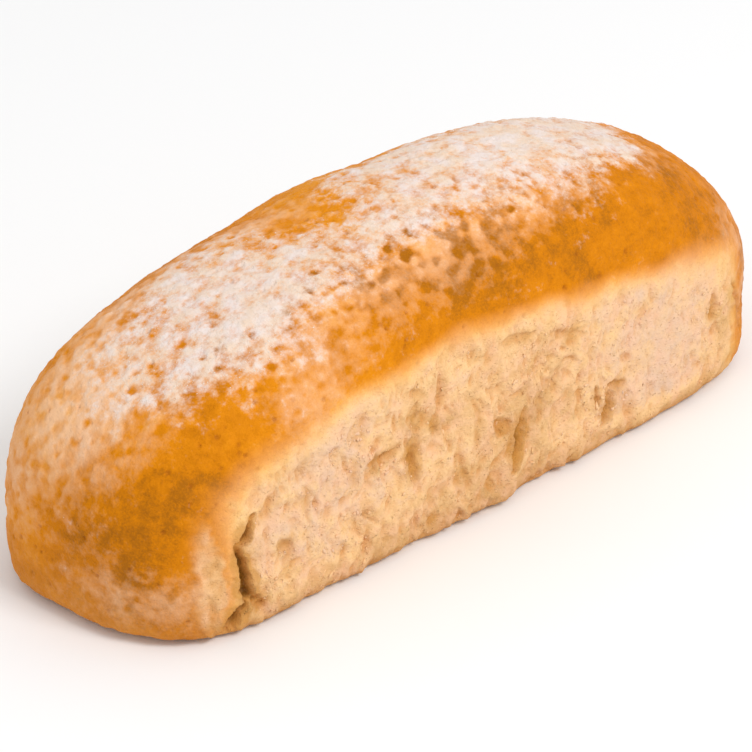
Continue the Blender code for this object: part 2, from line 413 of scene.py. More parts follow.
# Relief of the torn crumb, in metres: the crumb is a foam whose cells were torn open and drawn
# upwards as the neighbours were pulled away, with flakes left standing in low terraces.
CELL_STRETCH = (1.0, 1.0, 0.55)
FIBRE_STRETCH = (1.0, 1.0, 0.42)
CELLS = ((0.0082, 0.00170, 24), (0.0045, 0.00110, 25), (0.0024, 0.00060, 26))  # cell, depth, seed
BOWL_REACH = 0.62  # of a cell
SHALLOWEST_BOWL = 0.20  # of the deepest
BOWL_RARITY = 2.2
FIBRES = ((0.0056, 0.00120, 31), (0.0030, 0.00070, 32), (0.0016, 0.00030, 33))  # cell, height, seed
FLAKE_HEIGHT = 0.00220
FLAKE_COUNT = 4.0
FLAKE_TREAD = 0.65  # of a step, which is flat
FLAKE_NOISE = ((0.6, 0.0085, 38), (0.4, 0.0042, 39))
TORN_STRAYS = ((0.0035, 0.014, 21), (0.0011, 0.0040, 35))
TORN_STRENGTH = 0.75  # with rougher and smoother patches round it
TORN_PATCHES = ((0.35, 0.017, 20),)
CALM = (0.090, 0.028, 0.5)  # a smoother stretch of the torn side: along, reach, how much


def torn_relief(points):
    """Height of the torn crumb and, from 0 to 1, how deep in an open cell each point lies.

    The place is first shifted by noise at two sizes, so that nothing runs straight. Each cell is
    a bowl round a scattered seed, as deep as a power of the seed's own value, so few are deep.
    Fibres are noise folded at 0 to a ridge. Flakes are slow noise rounded down to steps.
    """
    calm = 1 - CALM[2] * np.exp(-(((points[..., 0] - CALM[0]) / CALM[1]) ** 2) / 2)
    patch = calm * (TORN_STRENGTH + layered(points, TORN_PATCHES))
    points = points + strayed(points, TORN_STRAYS)
    height, deep = np.zeros(len(points)), np.zeros(len(points))
    for cell, depth, seed in CELLS:
        apart, own = nearest_seed(points * CELL_STRETCH, cell, seed)
        bowl = np.clip(1 - (apart / BOWL_REACH) ** 2, 0, 1)
        bowl = bowl * (SHALLOWEST_BOWL + (1 - SHALLOWEST_BOWL) * own**BOWL_RARITY)
        height -= depth * bowl
        deep = np.maximum(deep, bowl * depth / CELLS[0][1])
    for cell, rise, seed in FIBRES:
        height += rise * (1 - 2 * np.abs(lattice_noise(points * FIBRE_STRETCH, cell, seed)))
    steps = FLAKE_COUNT * layered(points, FLAKE_NOISE)
    riser = soft_step((steps % 1 - FLAKE_TREAD) / (1 - FLAKE_TREAD))
    flakes = (np.floor(steps) + riser) / FLAKE_COUNT
    return patch * (height + FLAKE_HEIGHT * flakes), patch * deep


# Relief of the crust: faint wrinkles and blisters, pebbles where bubbles lie under the skin, and
# pores where gas broke out.
CRUST_NOISE = ((0.00022, 0.0065, 41), (0.00014, 0.0030, 42), (0.00010, 0.0016, 43))
WRINKLE_DEPTH = 0.00016
WRINKLE_WIDTH = 0.16  # in the noise, to each side of 0
WRINKLE_LINES = ((1.0, 0.0075, 45),)
WRINKLED_PARTS = ((2.0, 0.020, 46),)
BLISTER_CELL = 0.0044
BLISTER_HEIGHT = 0.00030
BLISTER_REACH = 0.45  # of a cell
BLISTER_SHARE = 0.40  # of the seeds
PORE_DEPTH = 0.0007
PORE_REACH = (0.16, 0.45)  # of a cell, and how much more by the seed's value
PORE_SHARE = 0.28
CRUST_STRAYS = ((0.0009, 0.0026, 47),)
DIMPLE_CELL = 0.0052
DIMPLE_DEPTH = 0.00025
DIMPLE_REACH = (0.14, 0.30)
DIMPLE_EDGE = 1.25
PEBBLE_HEIGHT = 0.00020
PEBBLE_NOISE = ((2.6, 0.0036, 54),)


def crust_relief(points):
    """Height of the crust, how deep in a pore or a dimple each point lies, from 0 to 1, and from
    -1 between the pebbles to 1 on top of them. The height is noise at three sizes, low domes and
    bowls round scattered seeds, wrinkles where noise folds at 0, and pebbles, which are noise
    made steeper by a hyperbolic tangent."""
    wrinkle = 1 - np.clip(np.abs(layered(points, WRINKLE_LINES)) / WRINKLE_WIDTH, 0, 1)
    height = layered(points, CRUST_NOISE)
    height -= WRINKLE_DEPTH * wrinkle**2 * soft_step(layered(points, WRINKLED_PARTS))
    apart, own = nearest_seed(points, BLISTER_CELL, 44)
    blisters = np.clip(1 - (apart / BLISTER_REACH) ** 2, 0, 1) * (own > 1 - BLISTER_SHARE)
    pores = np.clip(1 - (apart / (PORE_REACH[0] + PORE_REACH[1] * own)) ** 2, 0, 1)
    pores = pores * (own < PORE_SHARE)
    points = points + strayed(points, CRUST_STRAYS)
    apart, own = nearest_seed(points, DIMPLE_CELL, 50)
    dimples = soft_step(DIMPLE_EDGE - apart / (DIMPLE_REACH[0] + DIMPLE_REACH[1] * own)) * own
    pebbles = np.tanh(layered(points, PEBBLE_NOISE))
    height += BLISTER_HEIGHT * blisters
    height += PEBBLE_HEIGHT * pebbles - DIMPLE_DEPTH * dimples - PORE_DEPTH * pores
    return height, pores, dimples, pebbles


# Turns the crust off the noise's lattice, so that no rows of it show on the flat of the crown
tilt = np.array(((0.80, -0.52, 0.30), (0.60, 0.69, -0.40), (0.0, 0.50, 0.866)))
turned = smooth_loaf @ tilt
torn_height, open_cells = np.zeros(x.shape), np.zeros(x.shape)
there = torn > 0.001
torn_height[there], open_cells[there] = torn_relief(smooth_loaf[there])
crust_height, pores, dimples, pebbles = crust_relief(turned)

# Flour, dusted on from above before baking: how far it reaches down from the top in degrees of
# section angle, where it thins out along the loaf, and drifts (along, section angle, reach
# along, reach in degrees, how much more or less flour).
FLOUR_EDGE = (36.0, 22.0)  # no flour this far from straight up, and full this much nearer
FLOUR_ENDS = (-0.156, -0.108, 0.100, 0.142)  # none, full, full, none
FLOUR_FOOT = (0.004, 0.02)  # height where it starts to hold, and over which it comes to full
FLOUR_LIMITS = (-0.5, 1.1)  # none for certain, and the thickest
FLOUR_FULL = 1.14
FLOUR_SHED = 0.20
FLOUR_PATCHY = 1.3
FLOUR_OFF_DIMPLES = 0.40
FLOUR_ON_PEBBLES = 0.16
FLOUR_PATCHES = ((0.16, 0.011, 51), (0.16, 0.0045, 52))
SOLE_FLOUR = (0.50, 1.5, 0.30)  # a little off the oven floor: evenly, patchy, off the dimples
FLOUR_DRIFTS = (
    (-0.095, 59.0, 0.016, 9.0, 0.62),
    (-0.035, 106.0, 0.014, 10.0, -1.1),
    (-0.112, 106.0, 0.010, 9.0, -0.16),
    (0.005, 67.0, 0.030, 5.0, -0.30),
    (0.070, 98.0, 0.050, 22.0, 0.08),
    (-0.140, 80.0, 0.013, 24.0, 0.12),
    (0.122, 68.0, 0.014, 11.0, -0.60),
    (-0.015, 82.0, 0.026, 14.0, -0.16),
    (-0.116, 84.0, 0.012, 14.0, -0.18),
)
# Flour rubbed thin into the skin, which turns it from gold to peach: the same five values over the
# top, and at the ends along, across, height, reach, how much
FILM_FULL = 1.15
FILM_SHED = 0.15
FILM_PATCHY = 1.8
FILM_OFF_DIMPLES = 0.8
FILM_ON_PEBBLES = 0.40
FLOUR_FILMS = (
    (-0.026, 64.0, 0.046, 7.0, 0.45),
    (-0.033, 106.0, 0.013, 9.0, 0.30),
    (0.112, 70.0, 0.014, 8.0, 0.26),
    (0.060, 66.0, 0.030, 6.0, 0.26),
    (0.012, 41.0, 0.010, 4.0, 0.08),
    (0.074, 38.0, 0.010, 4.0, 0.10),
    (-0.088, 57.0, 0.016, 8.0, 0.13),
    (-0.058, 48.0, 0.014, 6.0, 0.10),
    (-0.104, 117.0, 0.016, 8.0, 0.46),
    (-0.078, 115.0, 0.016, 7.0, 0.34),
    (-0.052, 112.0, 0.010, 6.0, 0.34),
    (-0.012, 51.0, 0.022, 5.0, 0.15),
)
END_FILMS = (
    (-0.142, 0.000, 0.076, 0.018, 0.72),
    (-0.128, 0.018, 0.085, 0.018, 0.34),
    (-0.158, 0.030, 0.050, 0.020, 0.44),
    (-0.158, -0.022, 0.010, 0.016, 0.38),
    (-0.148, -0.040, 0.008, 0.013, 0.32),
    (-0.136, -0.048, 0.018, 0.009, 0.24),
    (-0.086, -0.046, 0.080, 0.014, 0.38),
    (0.140, -0.046, 0.064, 0.014, 0.30),
    (0.141, -0.046, 0.034, 0.013, 0.34),
)


def drifts(x, level, patches):
    """Sum of bells, each round a place along the loaf and a level: a section angle or a height."""
    return sum(
        more * np.exp(-(((x - along) / reach) ** 2 + ((level - middle) / spread) ** 2) / 2)
        for along, middle, reach, spread, more in patches
    )


def bells(points, places):
    """Sum of bells, each round one point."""
    total = np.zeros(points.shape[:-1])
    for *middle, reach, more in places:
        apart = np.linalg.norm(points - middle, axis=-1)
        total += more * np.exp(-((apart / reach) ** 2) / 2)
    return total


sides = soft_step((FLOUR_EDGE[0] - np.abs(overhead - 90)) / FLOUR_EDGE[1])
ends = soft_step((x - FLOUR_ENDS[0]) / (FLOUR_ENDS[1] - FLOUR_ENDS[0]))
ends *= soft_step((FLOUR_ENDS[3] - x) / (FLOUR_ENDS[3] - FLOUR_ENDS[2]))
patchy = layered(turned, FLOUR_PATCHES)
on_skin = (1 - torn) * soft_step((z - FLOUR_FOOT[0]) / FLOUR_FOOT[1])
cover = sides * ends + drifts(x, overhead, FLOUR_DRIFTS)
flour = FLOUR_FULL * cover - FLOUR_SHED + FLOUR_PATCHY * patchy
flour = flour - FLOUR_OFF_DIMPLES * dimples + FLOUR_ON_PEBBLES * pebbles
flour = np.clip(flour, *FLOUR_LIMITS)
flour = flour * on_skin + FLOUR_LIMITS[0] * (1 - on_skin)
flour += sole * (SOLE_FLOUR[0] + SOLE_FLOUR[1] * patchy - SOLE_FLOUR[2] * dimples)
film = drifts(x, overhead, FLOUR_FILMS) + bells(smooth_loaf, END_FILMS)
film = FILM_FULL * film * (1 + FILM_PATCHY * patchy + FILM_ON_PEBBLES * pebbles)
film = film * (1 - FILM_OFF_DIMPLES * dimples) - FILM_SHED
film = np.clip(film, -FILM_SHED, 1) * on_skin

# How far the crust has baked, 0 pale to 1 brown. It is pale beside the torn crumb, darkest in a
# band above it, and a little lighter over the top. Then come the browned and the paler places, and
# one painted shade: along, across, height, reach, how much more.
BAKE_RISE = 0.011  # metres of crust from pale to fully baked
BAKE_START = 0.30  # the share of that rise which is done at the crust line
BAKE_LEAST = 0.10
BAKE_MORE = 0.56  # at the end of the rise
TOP_PALER = (0.12, 0.094, 0.016)  # how much, above what height, and over what height it comes
BAKE_NOISE = ((0.10, 0.012, 61), (0.07, 0.0048, 62))
DIMPLES_DARKER = 0.06
PEBBLES_PALER = 0.03
SPECKLES_PALER = 0.6  # on the pebbles, of what they darken in the dimples
RIM = (0.0065, 0.005, 0.75)  # browned by the oven floor up to what height, its fade, how much
LOW_ENDS = (0.036, 0.034, 0.36)  # duller low on the ends: the same three
BROWNINGS_AND_SHADE = (
    (0.045, -0.050, 0.085, 0.020, 0.23),
    (0.110, -0.046, 0.078, 0.022, 0.26),
    (-0.010, -0.050, 0.088, 0.020, 0.14),
    (0.008, -0.037, 0.102, 0.014, 0.17),
    (-0.035, -0.038, 0.101, 0.016, 0.14),
    (-0.154, -0.024, 0.042, 0.022, 0.20),
    (-0.140, -0.038, 0.062, 0.018, 0.12),
    (-0.150, -0.034, 0.024, 0.016, 0.16),
    (-0.152, 0.004, 0.078, 0.024, -0.14),
    (-0.148, 0.035, 0.070, 0.024, -0.12),
    (0.158, 0.010, 0.040, 0.036, 0.12),
    # painted shade: darker where the +X end turns away from the light beside the torn side
    (0.147, -0.040, 0.038, 0.011, 0.30),
)
# Where the skin is speckled brown between the pebbles: places as for the flour
SPECKLED = (
    (-0.022, 66.0, 0.046, 7.0, 0.38),
    (-0.100, 66.0, 0.030, 12.0, 0.10),
    (-0.125, 32.0, 0.014, 14.0, 0.10),
    (0.040, 82.0, 0.080, 14.0, 0.14),
)


def baking(points, margin):
    """How far the crust has baked: an S over the margin to the torn side, less over the top, with
    bells for the browned places and one painted shade, and noise at two sizes."""
    paler, height, rise = TOP_PALER
    baked = BAKE_LEAST + BAKE_MORE * soft_step(margin / BAKE_RISE + BAKE_START)
    baked = baked - paler * soft_step((points[..., 2] - height) / rise)
    return baked + bells(points, BROWNINGS_AND_SHADE) + layered(points @ tilt, BAKE_NOISE)


speckled = drifts(x, overhead, SPECKLED)
bake = baking(smooth_loaf, margin) + (DIMPLES_DARKER + speckled) * dimples
bake = np.clip(bake - (PEBBLES_PALER + SPECKLES_PALER * speckled) * pebbles, 0, 1)
rim = RIM[2] * soft_step((RIM[0] - z) / RIM[1])
low_end = LOW_ENDS[2] * soft_step((LOW_ENDS[0] - z) / LOW_ENDS[1]) * (1 - torn)

# Tone of the torn crumb, 0 tan to 1 palest: places along, height, reach along, reach up, how much
TORN_TONES = (
    (0.086, 0.045, 0.024, 0.024, 0.45),
    (0.022, 0.040, 0.018, 0.018, -0.24),
    (-0.012, 0.040, 0.020, 0.020, -0.12),
    (-0.088, 0.052, 0.018, 0.018, 0.28),
    # painted shade: tanner where the +X end turns away from the light
    (0.130, 0.034, 0.012, 0.012, -0.42),
)
TONE_MIDDLE = 0.50
TONE_NOISE = ((0.20, 0.016, 63), (0.16, 0.006, 64))
LOW_TAN = (0.017, 0.014, 0.50)  # tanner below what height, its fade, how much
tone = TONE_MIDDLE + layered(smooth_loaf, TONE_NOISE) + drifts(x, z, TORN_TONES)
tone = np.clip(tone - LOW_TAN[2] * soft_step((LOW_TAN[0] - z) / LOW_TAN[1]), 0, 1)


def hollowness(height, reach, depth):
    """How far each point lies under the mean of the grid's square round it, from 0 to 1."""
    mean = height
    for axis in (0, 1):
        rolled = [np.roll(mean, step, axis) for step in range(-reach, reach + 1)]
        mean = sum(rolled) / len(rolled)
    return np.clip((mean - height) / depth, 0, 1)


# The base is flat: close above the floor only the hollows of the relief are left, and shallower
SEAT_RISE = 0.004
SEAT_HOLLOWS = 0.6
FLOUR_THICKNESS = 0.00012
DARKEST_TEAR = 0.0046  # deep enough to be fully in shade
DARKEST_TEAR_SHADE = 0.0028
CELL_SHADE = 0.45
HOLLOWS = ((0.6, 3, 0.0009), (0.7, 9, 0.0016))  # share, reach in cells of the grid, depth
above = soft_step(z / SEAT_RISE)
relief = torn * torn_height + (1 - torn) * crust_height + FLOUR_THICKNESS * np.maximum(flour, 0)
relief = relief * above + np.minimum(relief, 0) * SEAT_HOLLOWS * (1 - above)
relief -= tears
# Tears and open cells of the torn crumb are darkened: painted shade, and in the deep crack partly
# its own deeper bake
cavity_shade_and_bake = np.clip(tears / DARKEST_TEAR, 0, 1)
cavity_shade_and_bake = np.maximum(cavity_shade_and_bake, CELL_SHADE * open_cells * torn)
tear_shade = np.clip(tear_shades / DARKEST_TEAR_SHADE, 0, 1)
# Painted shade: the torn crumb is darkened where it lies under the mean of the grid round it
hollow_shade = sum(more * hollowness(torn_height, reach, depth) for more, reach, depth in HOLLOWS)
loaf_skin = smooth_loaf + smooth_normal * relief[..., None]
loaf_skin[..., 2] = np.maximum(loaf_skin[..., 2], cad_low[2])
skin_normal = outward(loaf_skin)

skin_attributes = {
    "bake": bake,
    "flour": flour,
    "film": film,
    "torn": torn,
    "cavity_shade_and_bake": cavity_shade_and_bake,
    "hollow_shade": hollow_shade * torn,
    "tear_shade": tear_shade,
    # pores of the crust, painted darker as shade in their pits
    "pore_shade": pores * (1 - torn),
    "sole": np.maximum(np.maximum(sole, rim), low_end),
    "tone": tone,
}


def give(mesh, title, values):
    """Gives every point of the mesh its own value, under a title that materials read."""
    layer = mesh.attributes.new(title, "FLOAT", "POINT")
    layer.data.foreach_set("value", values.astype(np.float32))


def gore_mesh(name, first, count):
    """Mesh of one gore: quads between neighbouring rings and columns, a fan of triangles to the
    point at each end, one map named OFBake of ring share by column share, and the attributes and
    normals."""
    columns = np.arange(first, first + count + 1) % len(section)
    wide = count + 1
    body = loaf_skin[1:-1][:, columns].reshape(-1, 3)
    normal = skin_normal[1:-1][:, columns].reshape(-1, 3)
    ends = np.stack((loaf_skin[0, 0], loaf_skin[-1, 0]))
    end_normals = np.stack((skin_normal[0, 0], skin_normal[-1, 0]))
    ring, column = np.meshgrid(np.arange(RINGS - 2), np.arange(count), indexing="ij")
    corner = (ring * wide + column).ravel()
    quads = np.stack((corner, corner + wide, corner + wide + 1, corner + 1), 1)
    near = np.arange(count)
    far = near + (RINGS - 2) * wide
    near_fan = np.stack((np.full(count, len(body)), near, near + 1), 1)
    far_fan = np.stack((np.full(count, len(body) + 1), far + 1, far), 1)
    faces = quads.tolist() + near_fan.tolist() + far_fan.tolist()
    mesh = bpy.data.meshes.new(name)
    mesh.from_pydata(np.vstack((body, ends)), [], faces)

    ring_share = np.r_[np.repeat(np.arange(1, RINGS) / RINGS, wide), 0.0, 1.0]
    column_share = np.r_[np.tile(np.arange(wide) / count, RINGS - 1), 0.5, 0.5]
    corners = np.empty(len(mesh.loops), np.int32)
    mesh.loops.foreach_get("vertex_index", corners)
    chart = np.stack((ring_share[corners], column_share[corners]), 1)
    fans = len(quads) * 4  # where their corners start: each has its point first, over its middle
    chart[fans::3, 1] = (np.tile(np.arange(count), 2) + 0.5) / count
    mesh.uv_layers.new(name="OFBake").data.foreach_set("uv", chart.ravel().astype(np.float32))
    for title, values in skin_attributes.items():
        give(mesh, title, np.r_[values[1:-1][:, columns].ravel(), values[0, 0], values[-1, 0]])
    mesh.shade_smooth()
    mesh.normals_split_custom_set_from_vertices(np.vstack((normal, end_normals)))
    return mesh


def linear(hex_colour):
    """An sRGB hex colour as linear red, green, blue and alpha."""
    parts = [int(hex_colour[n : n + 2], 16) / 255 for n in (1, 3, 5)]
    return [p / 12.92 if p <= 0.04045 else ((p + 0.055) / 1.055) ** 2.4 for p in parts] + [1.0]


def add(tree, kind, inputs=None, output=0, stops=(), **settings):
    """Adds a node with its settings, its colour stops and its inputs, and gives back one of its
    outputs. An input is a number, a hex colour or what an earlier call gave back."""
    node = tree.nodes.new(kind)
    for name, value in settings.items():
        setattr(node, name, value)
    for number, (place, colour) in enumerate(stops):
        points = node.color_ramp.elements
        point = points[number] if number < 2 else points.new(place)
        point.position = place
        point.color = linear(colour)
    for name, value in (inputs or {}).items():
        if isinstance(value, bpy.types.NodeSocket):
            tree.links.new(value, node.inputs[name])
        else:
            node.inputs[name].default_value = linear(value) if isinstance(value, str) else value
    return node.outputs[output]


# Baked wheat dough. The crust is dried, browned skin: matt to faintly glossy, amber where it is
# thin over a bubble and dull gold elsewhere. Torn crumb is dry, fluffy and matt, cream to peach;
# its hollows, open cells and tears are painted tan to brown as shade, the deep crack partly brown
# with its own bake. Flour lies on top as a matt off-white powder in specks 1 to 3 mm wide.
bread = bpy.data.materials.new("floured_wheat_bread")
bread.use_nodes = True
tree = bread.node_tree
shader = tree.nodes["Principled BSDF"]
where = add(tree, "ShaderNodeTexCoord", output="Object")
reading = {
    title: add(tree, "ShaderNodeAttribute", output="Fac", attribute_name=title)
    for title in skin_attributes
}

grain = {}  # noise by the size of its grains in metres, from about -0.3 to 0.3
for size, detail, rough in (
    (0.0090, 2.0, 0.5),
    (0.0042, 3.0, 0.6),
    (0.0030, 2.0, 0.6),
    (0.0022, 3.0, 0.65),
    (0.0014, 2.0, 0.6),
    (0.0008, 2.0, 0.6),
):
    fine = {"Vector": where, "Scale": 1 / size, "Detail": detail, "Roughness": rough}
    raw = add(tree, "ShaderNodeTexNoise", fine)
    grain[size] = add(tree, "ShaderNodeMath", {0: raw, 1: 0.5}, operation="SUBTRACT")

# Values with grains laid on: how baked the crust is, how pale and how pink the crumb is, and how
# thick the flour lies on the skin and in it
mottled = {}
for title, start, grains in (
    ("baked", reading["bake"], ((0.0022, 0.34), (0.0008, 0.28))),
    ("pale", reading["tone"], ((0.0042, 0.50), (0.0014, 0.30))),
    ("pink", 0.5, ((0.0090, 1.60), (0.0042, 0.50))),
    ("dusted", reading["flour"], ((0.0030, 1.05), (0.0014, 0.80))),
    ("veiled", reading["film"], ((0.0030, 0.45), (0.0014, 0.30))),
):
    for size, amount in grains:
        grained = {0: grain[size], 1: amount, 2: start}
        start = add(tree, "ShaderNodeMath", grained, operation="MULTIPLY_ADD")
    mottled[title] = start

crust = add(
    tree,
    "ShaderNodeValToRGB",
    {"Fac": mottled["baked"]},
    stops=(
        (0.00, "#F4CE92"),
        (0.22, "#EFB45C"),
        (0.44, "#E59526"),
        (0.64, "#DA840A"),
        (0.84, "#C87604"),
        (1.00, "#A8640C"),
    ),
)
crumb_stops = ((0.0, "#CC9D66"), (0.5, "#F0C48E"), (1.0, "#E0BEA4"))
crumb = add(tree, "ShaderNodeValToRGB", {"Fac": mottled["pale"]}, stops=crumb_stops)
blush = {"Value": mottled["pink"], "From Min": 0.25, "From Max": 0.95, "To Max": 0.55}
blush = add(tree, "ShaderNodeMapRange", blush, interpolation_type="SMOOTHSTEP")
crumb = add(tree, "ShaderNodeMix", {0: blush, 6: crumb, 7: "#EEBC9A"}, 2, data_type="RGBA")
skin = add(tree, "ShaderNodeMix", {0: reading["torn"], 6: crust, 7: crumb}, 2, data_type="RGBA")

# The foam of the crumb: cells about 1.5 mm wide, bent by noise so that they make no pattern. Their
# holes are dented by the bump and painted darker as shade.
bend = {"Vector": where, "Scale": 1 / 0.0024, "Detail": 2.0}
bend = add(tree, "ShaderNodeTexNoise", bend, output="Color")
bent = {0: bend, 1: (0.0016, 0.0016, 0.0016), 2: where}
bent = add(tree, "ShaderNodeVectorMath", bent, operation="MULTIPLY_ADD")
foam = add(tree, "ShaderNodeTexVoronoi", {"Vector": bent, "Scale": 1 / 0.0015})
foam_hole = {"Value": foam, "From Min": 0.34, "From Max": 0.05}
foam_hole = add(tree, "ShaderNodeMapRange", foam_hole, interpolation_type="SMOOTHSTEP")
foam_hole = add(tree, "ShaderNodeMath", {0: foam_hole, 1: reading["torn"]}, operation="MULTIPLY")

# The base: amber to brown in mottles about 16 mm wide, as the oven floor baked it
floor_stops = ((0.28, "#9C5C26"), (0.50, "#C48748"), (0.72, "#DCA868"))
floor_grain = {"Vector": where, "Scale": 1 / 0.0160, "Detail": 6.0, "Roughness": 0.68}
floor_grain = add(tree, "ShaderNodeTexNoise", floor_grain)
floor_bake = add(tree, "ShaderNodeValToRGB", {"Fac": floor_grain}, stops=floor_stops)

# What lies over crust and crumb in turn: its value, where it starts and is full, the share that
# it covers then, and its colour. The first six are painted shade in the crust's pores and in the
# crumb's foam holes, hollows and tears, in and round them, the deepest tears partly brown with
# their own bake; then come the browned base and the flour film.
for value, start, full, most, colour in (
    (reading["pore_shade"], 0.0, 1.0, 0.55, "#A05C1C"),
    (foam_hole, 0.0, 1.0, 0.20, "#D29A58"),
    (reading["hollow_shade"], 0.05, 1.0, 0.60, "#CE8E4C"),
    (reading["tear_shade"], 0.02, 0.80, 0.70, "#C48A42"),
    (reading["cavity_shade_and_bake"], 0.04, 0.50, 0.75, "#C4883E"),
    (reading["cavity_shade_and_bake"], 0.45, 0.95, 0.90, "#784C08"),
    (reading["sole"], 0.0, 1.0, 1.0, floor_bake),
    (mottled["veiled"], 0.0, 0.9, 0.80, "#F0C49E"),
):
    share = {"Value": value, "From Min": start, "From Max": full, "To Max": most}
    share = add(tree, "ShaderNodeMapRange", share)
    skin = add(tree, "ShaderNodeMix", {0: share, 6: skin, 7: colour}, 2, data_type="RGBA")

flour_share = {"Value": mottled["dusted"], "From Min": 0.08, "From Max": 1.16, "To Max": 0.90}
flour_share = add(tree, "ShaderNodeMapRange", flour_share, interpolation_type="SMOOTHSTEP")
flour_stops = ((0.40, "#E9D6C4"), (0.62, "#E8DFDC"))
flour_colour = add(tree, "ShaderNodeMath", {0: grain[0.0090], 1: 0.5}, operation="ADD")
flour_colour = add(tree, "ShaderNodeValToRGB", {"Fac": flour_colour}, stops=flour_stops)
skin = add(tree, "ShaderNodeMix", {0: flour_share, 6: skin, 7: flour_colour}, 2, data_type="RGBA")
tree.links.new(skin, shader.inputs["Base Color"])

dry = add(tree, "ShaderNodeMath", {0: flour_share, 1: reading["torn"]}, operation="MAXIMUM")
gloss = add(tree, "ShaderNodeMapRange", {"Value": dry, "To Min": 0.55, "To Max": 0.95})
tree.links.new(gloss, shader.inputs["Roughness"])
shader.inputs["IOR"].default_value = 1.45
shader.inputs["Specular IOR Level"].default_value = 0.07

grit = {"Value": reading["torn"], "To Min": 0.00025, "To Max": 0.00045}
grit = add(tree, "ShaderNodeMapRange", grit)
normal = {"Height": grain[0.0022], "Distance": 0.0006}
normal = add(tree, "ShaderNodeBump", normal)
normal = {"Height": grain[0.0008], "Distance": grit, "Normal": normal}
normal = add(tree, "ShaderNodeBump", normal)
normal = {"Height": foam_hole, "Distance": 0.00020, "Normal": normal}
normal = add(tree, "ShaderNodeBump", normal, invert=True)
tree.links.new(normal, shader.inputs["Normal"])

gore_start = np.cumsum([0] + [count for _, _, count in GORES])
for number, (name, _, count) in enumerate(GORES):
    mesh = gore_mesh(name, gore_start[number], count)
    mesh.materials.append(bread)
    piece = bpy.data.objects.new(name, mesh)
    bpy.context.scene.collection.objects.link(piece)
    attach(piece, "root")
    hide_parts("loaf")


# ---- Crumbs ---------------------------------------------------------------------------------
# Loose crumbs and short shreds of torn white crumb, half a millimetre to about four millimetres
# long, that cling to both long sides where the neighbours were pulled away.

CRUMB_COUNT = 1900
CRUMB_SEED = 71
CRUMB_SIZE = (0.00022, 0.00075)  # half its width
CRUMB_LENGTH = (1.0, 2.6)  # times its width
CRUMB_FLATNESS = 0.62
CRUMB_BUMPS = 0.30
CRUMB_LEAN = 0.7  # how far shreds lie from straight up the side
CRUMB_PATCHES = ((1.0, 0.018, 72),)
CRUMB_FEWEST = 0.10
CRUMB_CALM = 0.7  # how many fewer on the smooth stretch
CRUMB_LEAST_TORN = 0.9
CRUMB_INSIDE_LINE = 0.004
CRUMB_DEEPEST = 0.0003  # in a tear
CRUMB_LOWEST = 0.003


def unit(vectors):
    """The vectors at length 1."""
    return vectors / np.linalg.norm(vectors, axis=-1, keepdims=True)


def ball(around, rings):
    """Corners and triangles of a ball of radius 1: a pole at each end, rings of corners between
    them at even angles, a fan round each pole, and two triangles in each cell between two rings."""
    rises = np.arange(1, rings) * math.pi / rings
    turns = np.arange(around) * 2 * math.pi / around
    rise, turn = np.meshgrid(rises, turns, indexing="ij")
    body = np.stack((np.sin(rise) * np.cos(turn), np.sin(rise) * np.sin(turn), np.cos(rise)), -1)
    corners = np.vstack(((0.0, 0.0, 1.0), body.reshape(-1, 3), (0.0, 0.0, -1.0)))
    column = np.arange(around)
    beside = (column + 1) % around
    top, bottom = np.zeros(around, int), np.full(around, len(corners) - 1)
    last_ring = bottom - around
    first = 1 + around * np.arange(rings - 2)[:, None]
    upper, upper_beside = (first + column).ravel(), (first + beside).ravel()
    lower, lower_beside = upper + around, upper_beside + around
    triangles = (
        (top, 1 + column, 1 + beside),
        (bottom, last_ring + beside, last_ring + column),
        (upper, lower, lower_beside),
        (upper, lower_beside, upper_beside),
    )
    return corners, np.vstack([np.stack(three, 1) for three in triangles])


def scattered(name, corners, faces, values):
    """Mesh of many lumps that share their faces, with one value per lump for each attribute."""
    mesh = bpy.data.meshes.new(name)
    count, size = corners.shape[:2]
    every = faces[None] + (np.arange(count) * size)[:, None, None]
    mesh.from_pydata(corners.reshape(-1, 3), [], every.reshape(-1, 3).tolist())
    for title, value in values.items():
        give(mesh, title, np.repeat(value, size))
    mesh.shade_smooth()
    return mesh


draw = np.random.RandomState(CRUMB_SEED)
rough_patch = soft_step(0.5 + layered(smooth_loaf, CRUMB_PATCHES))
calm = 1 - CRUMB_CALM * np.exp(-(((x - CALM[0]) / CALM[1]) ** 2) / 2)
chance = (torn > CRUMB_LEAST_TORN) * (margin < -CRUMB_INSIDE_LINE)
chance = chance * (tears < CRUMB_DEEPEST) * (z > CRUMB_LOWEST)
chance = chance * (CRUMB_FEWEST + rough_patch) * calm
chosen = draw.choice(x.size, CRUMB_COUNT, replace=False, p=(chance / chance.sum()).ravel())
seat, upright = loaf_skin.reshape(-1, 3)[chosen], skin_normal.reshape(-1, 3)[chosen]
heading = np.array((0.0, 0.0, 1.0)) + draw.normal(0, CRUMB_LEAN, (CRUMB_COUNT, 3))
beside = unit(np.cross(upright, heading))
onward = np.cross(upright, beside)
half = CRUMB_SIZE[0] + np.ptp(CRUMB_SIZE) * draw.uniform(0, 1, CRUMB_COUNT) ** 3
stretch = CRUMB_LENGTH[0] + np.ptp(CRUMB_LENGTH) * draw.uniform(0, 1, CRUMB_COUNT) ** 2
ball_corners, ball_faces = ball(7, 4)
bumps = draw.uniform(-CRUMB_BUMPS, CRUMB_BUMPS, (CRUMB_COUNT, len(ball_corners), 1))
shape = np.stack((np.ones(CRUMB_COUNT), stretch, np.full(CRUMB_COUNT, CRUMB_FLATNESS)), 1)
lumps = ball_corners * (1 + bumps) * shape[:, None] * half[:, None, None]
lumps = np.einsum("kci,kij->kcj", lumps, np.stack((beside, onward, upright), 1))
crumb_values = {title: np.zeros(CRUMB_COUNT) for title in skin_attributes}
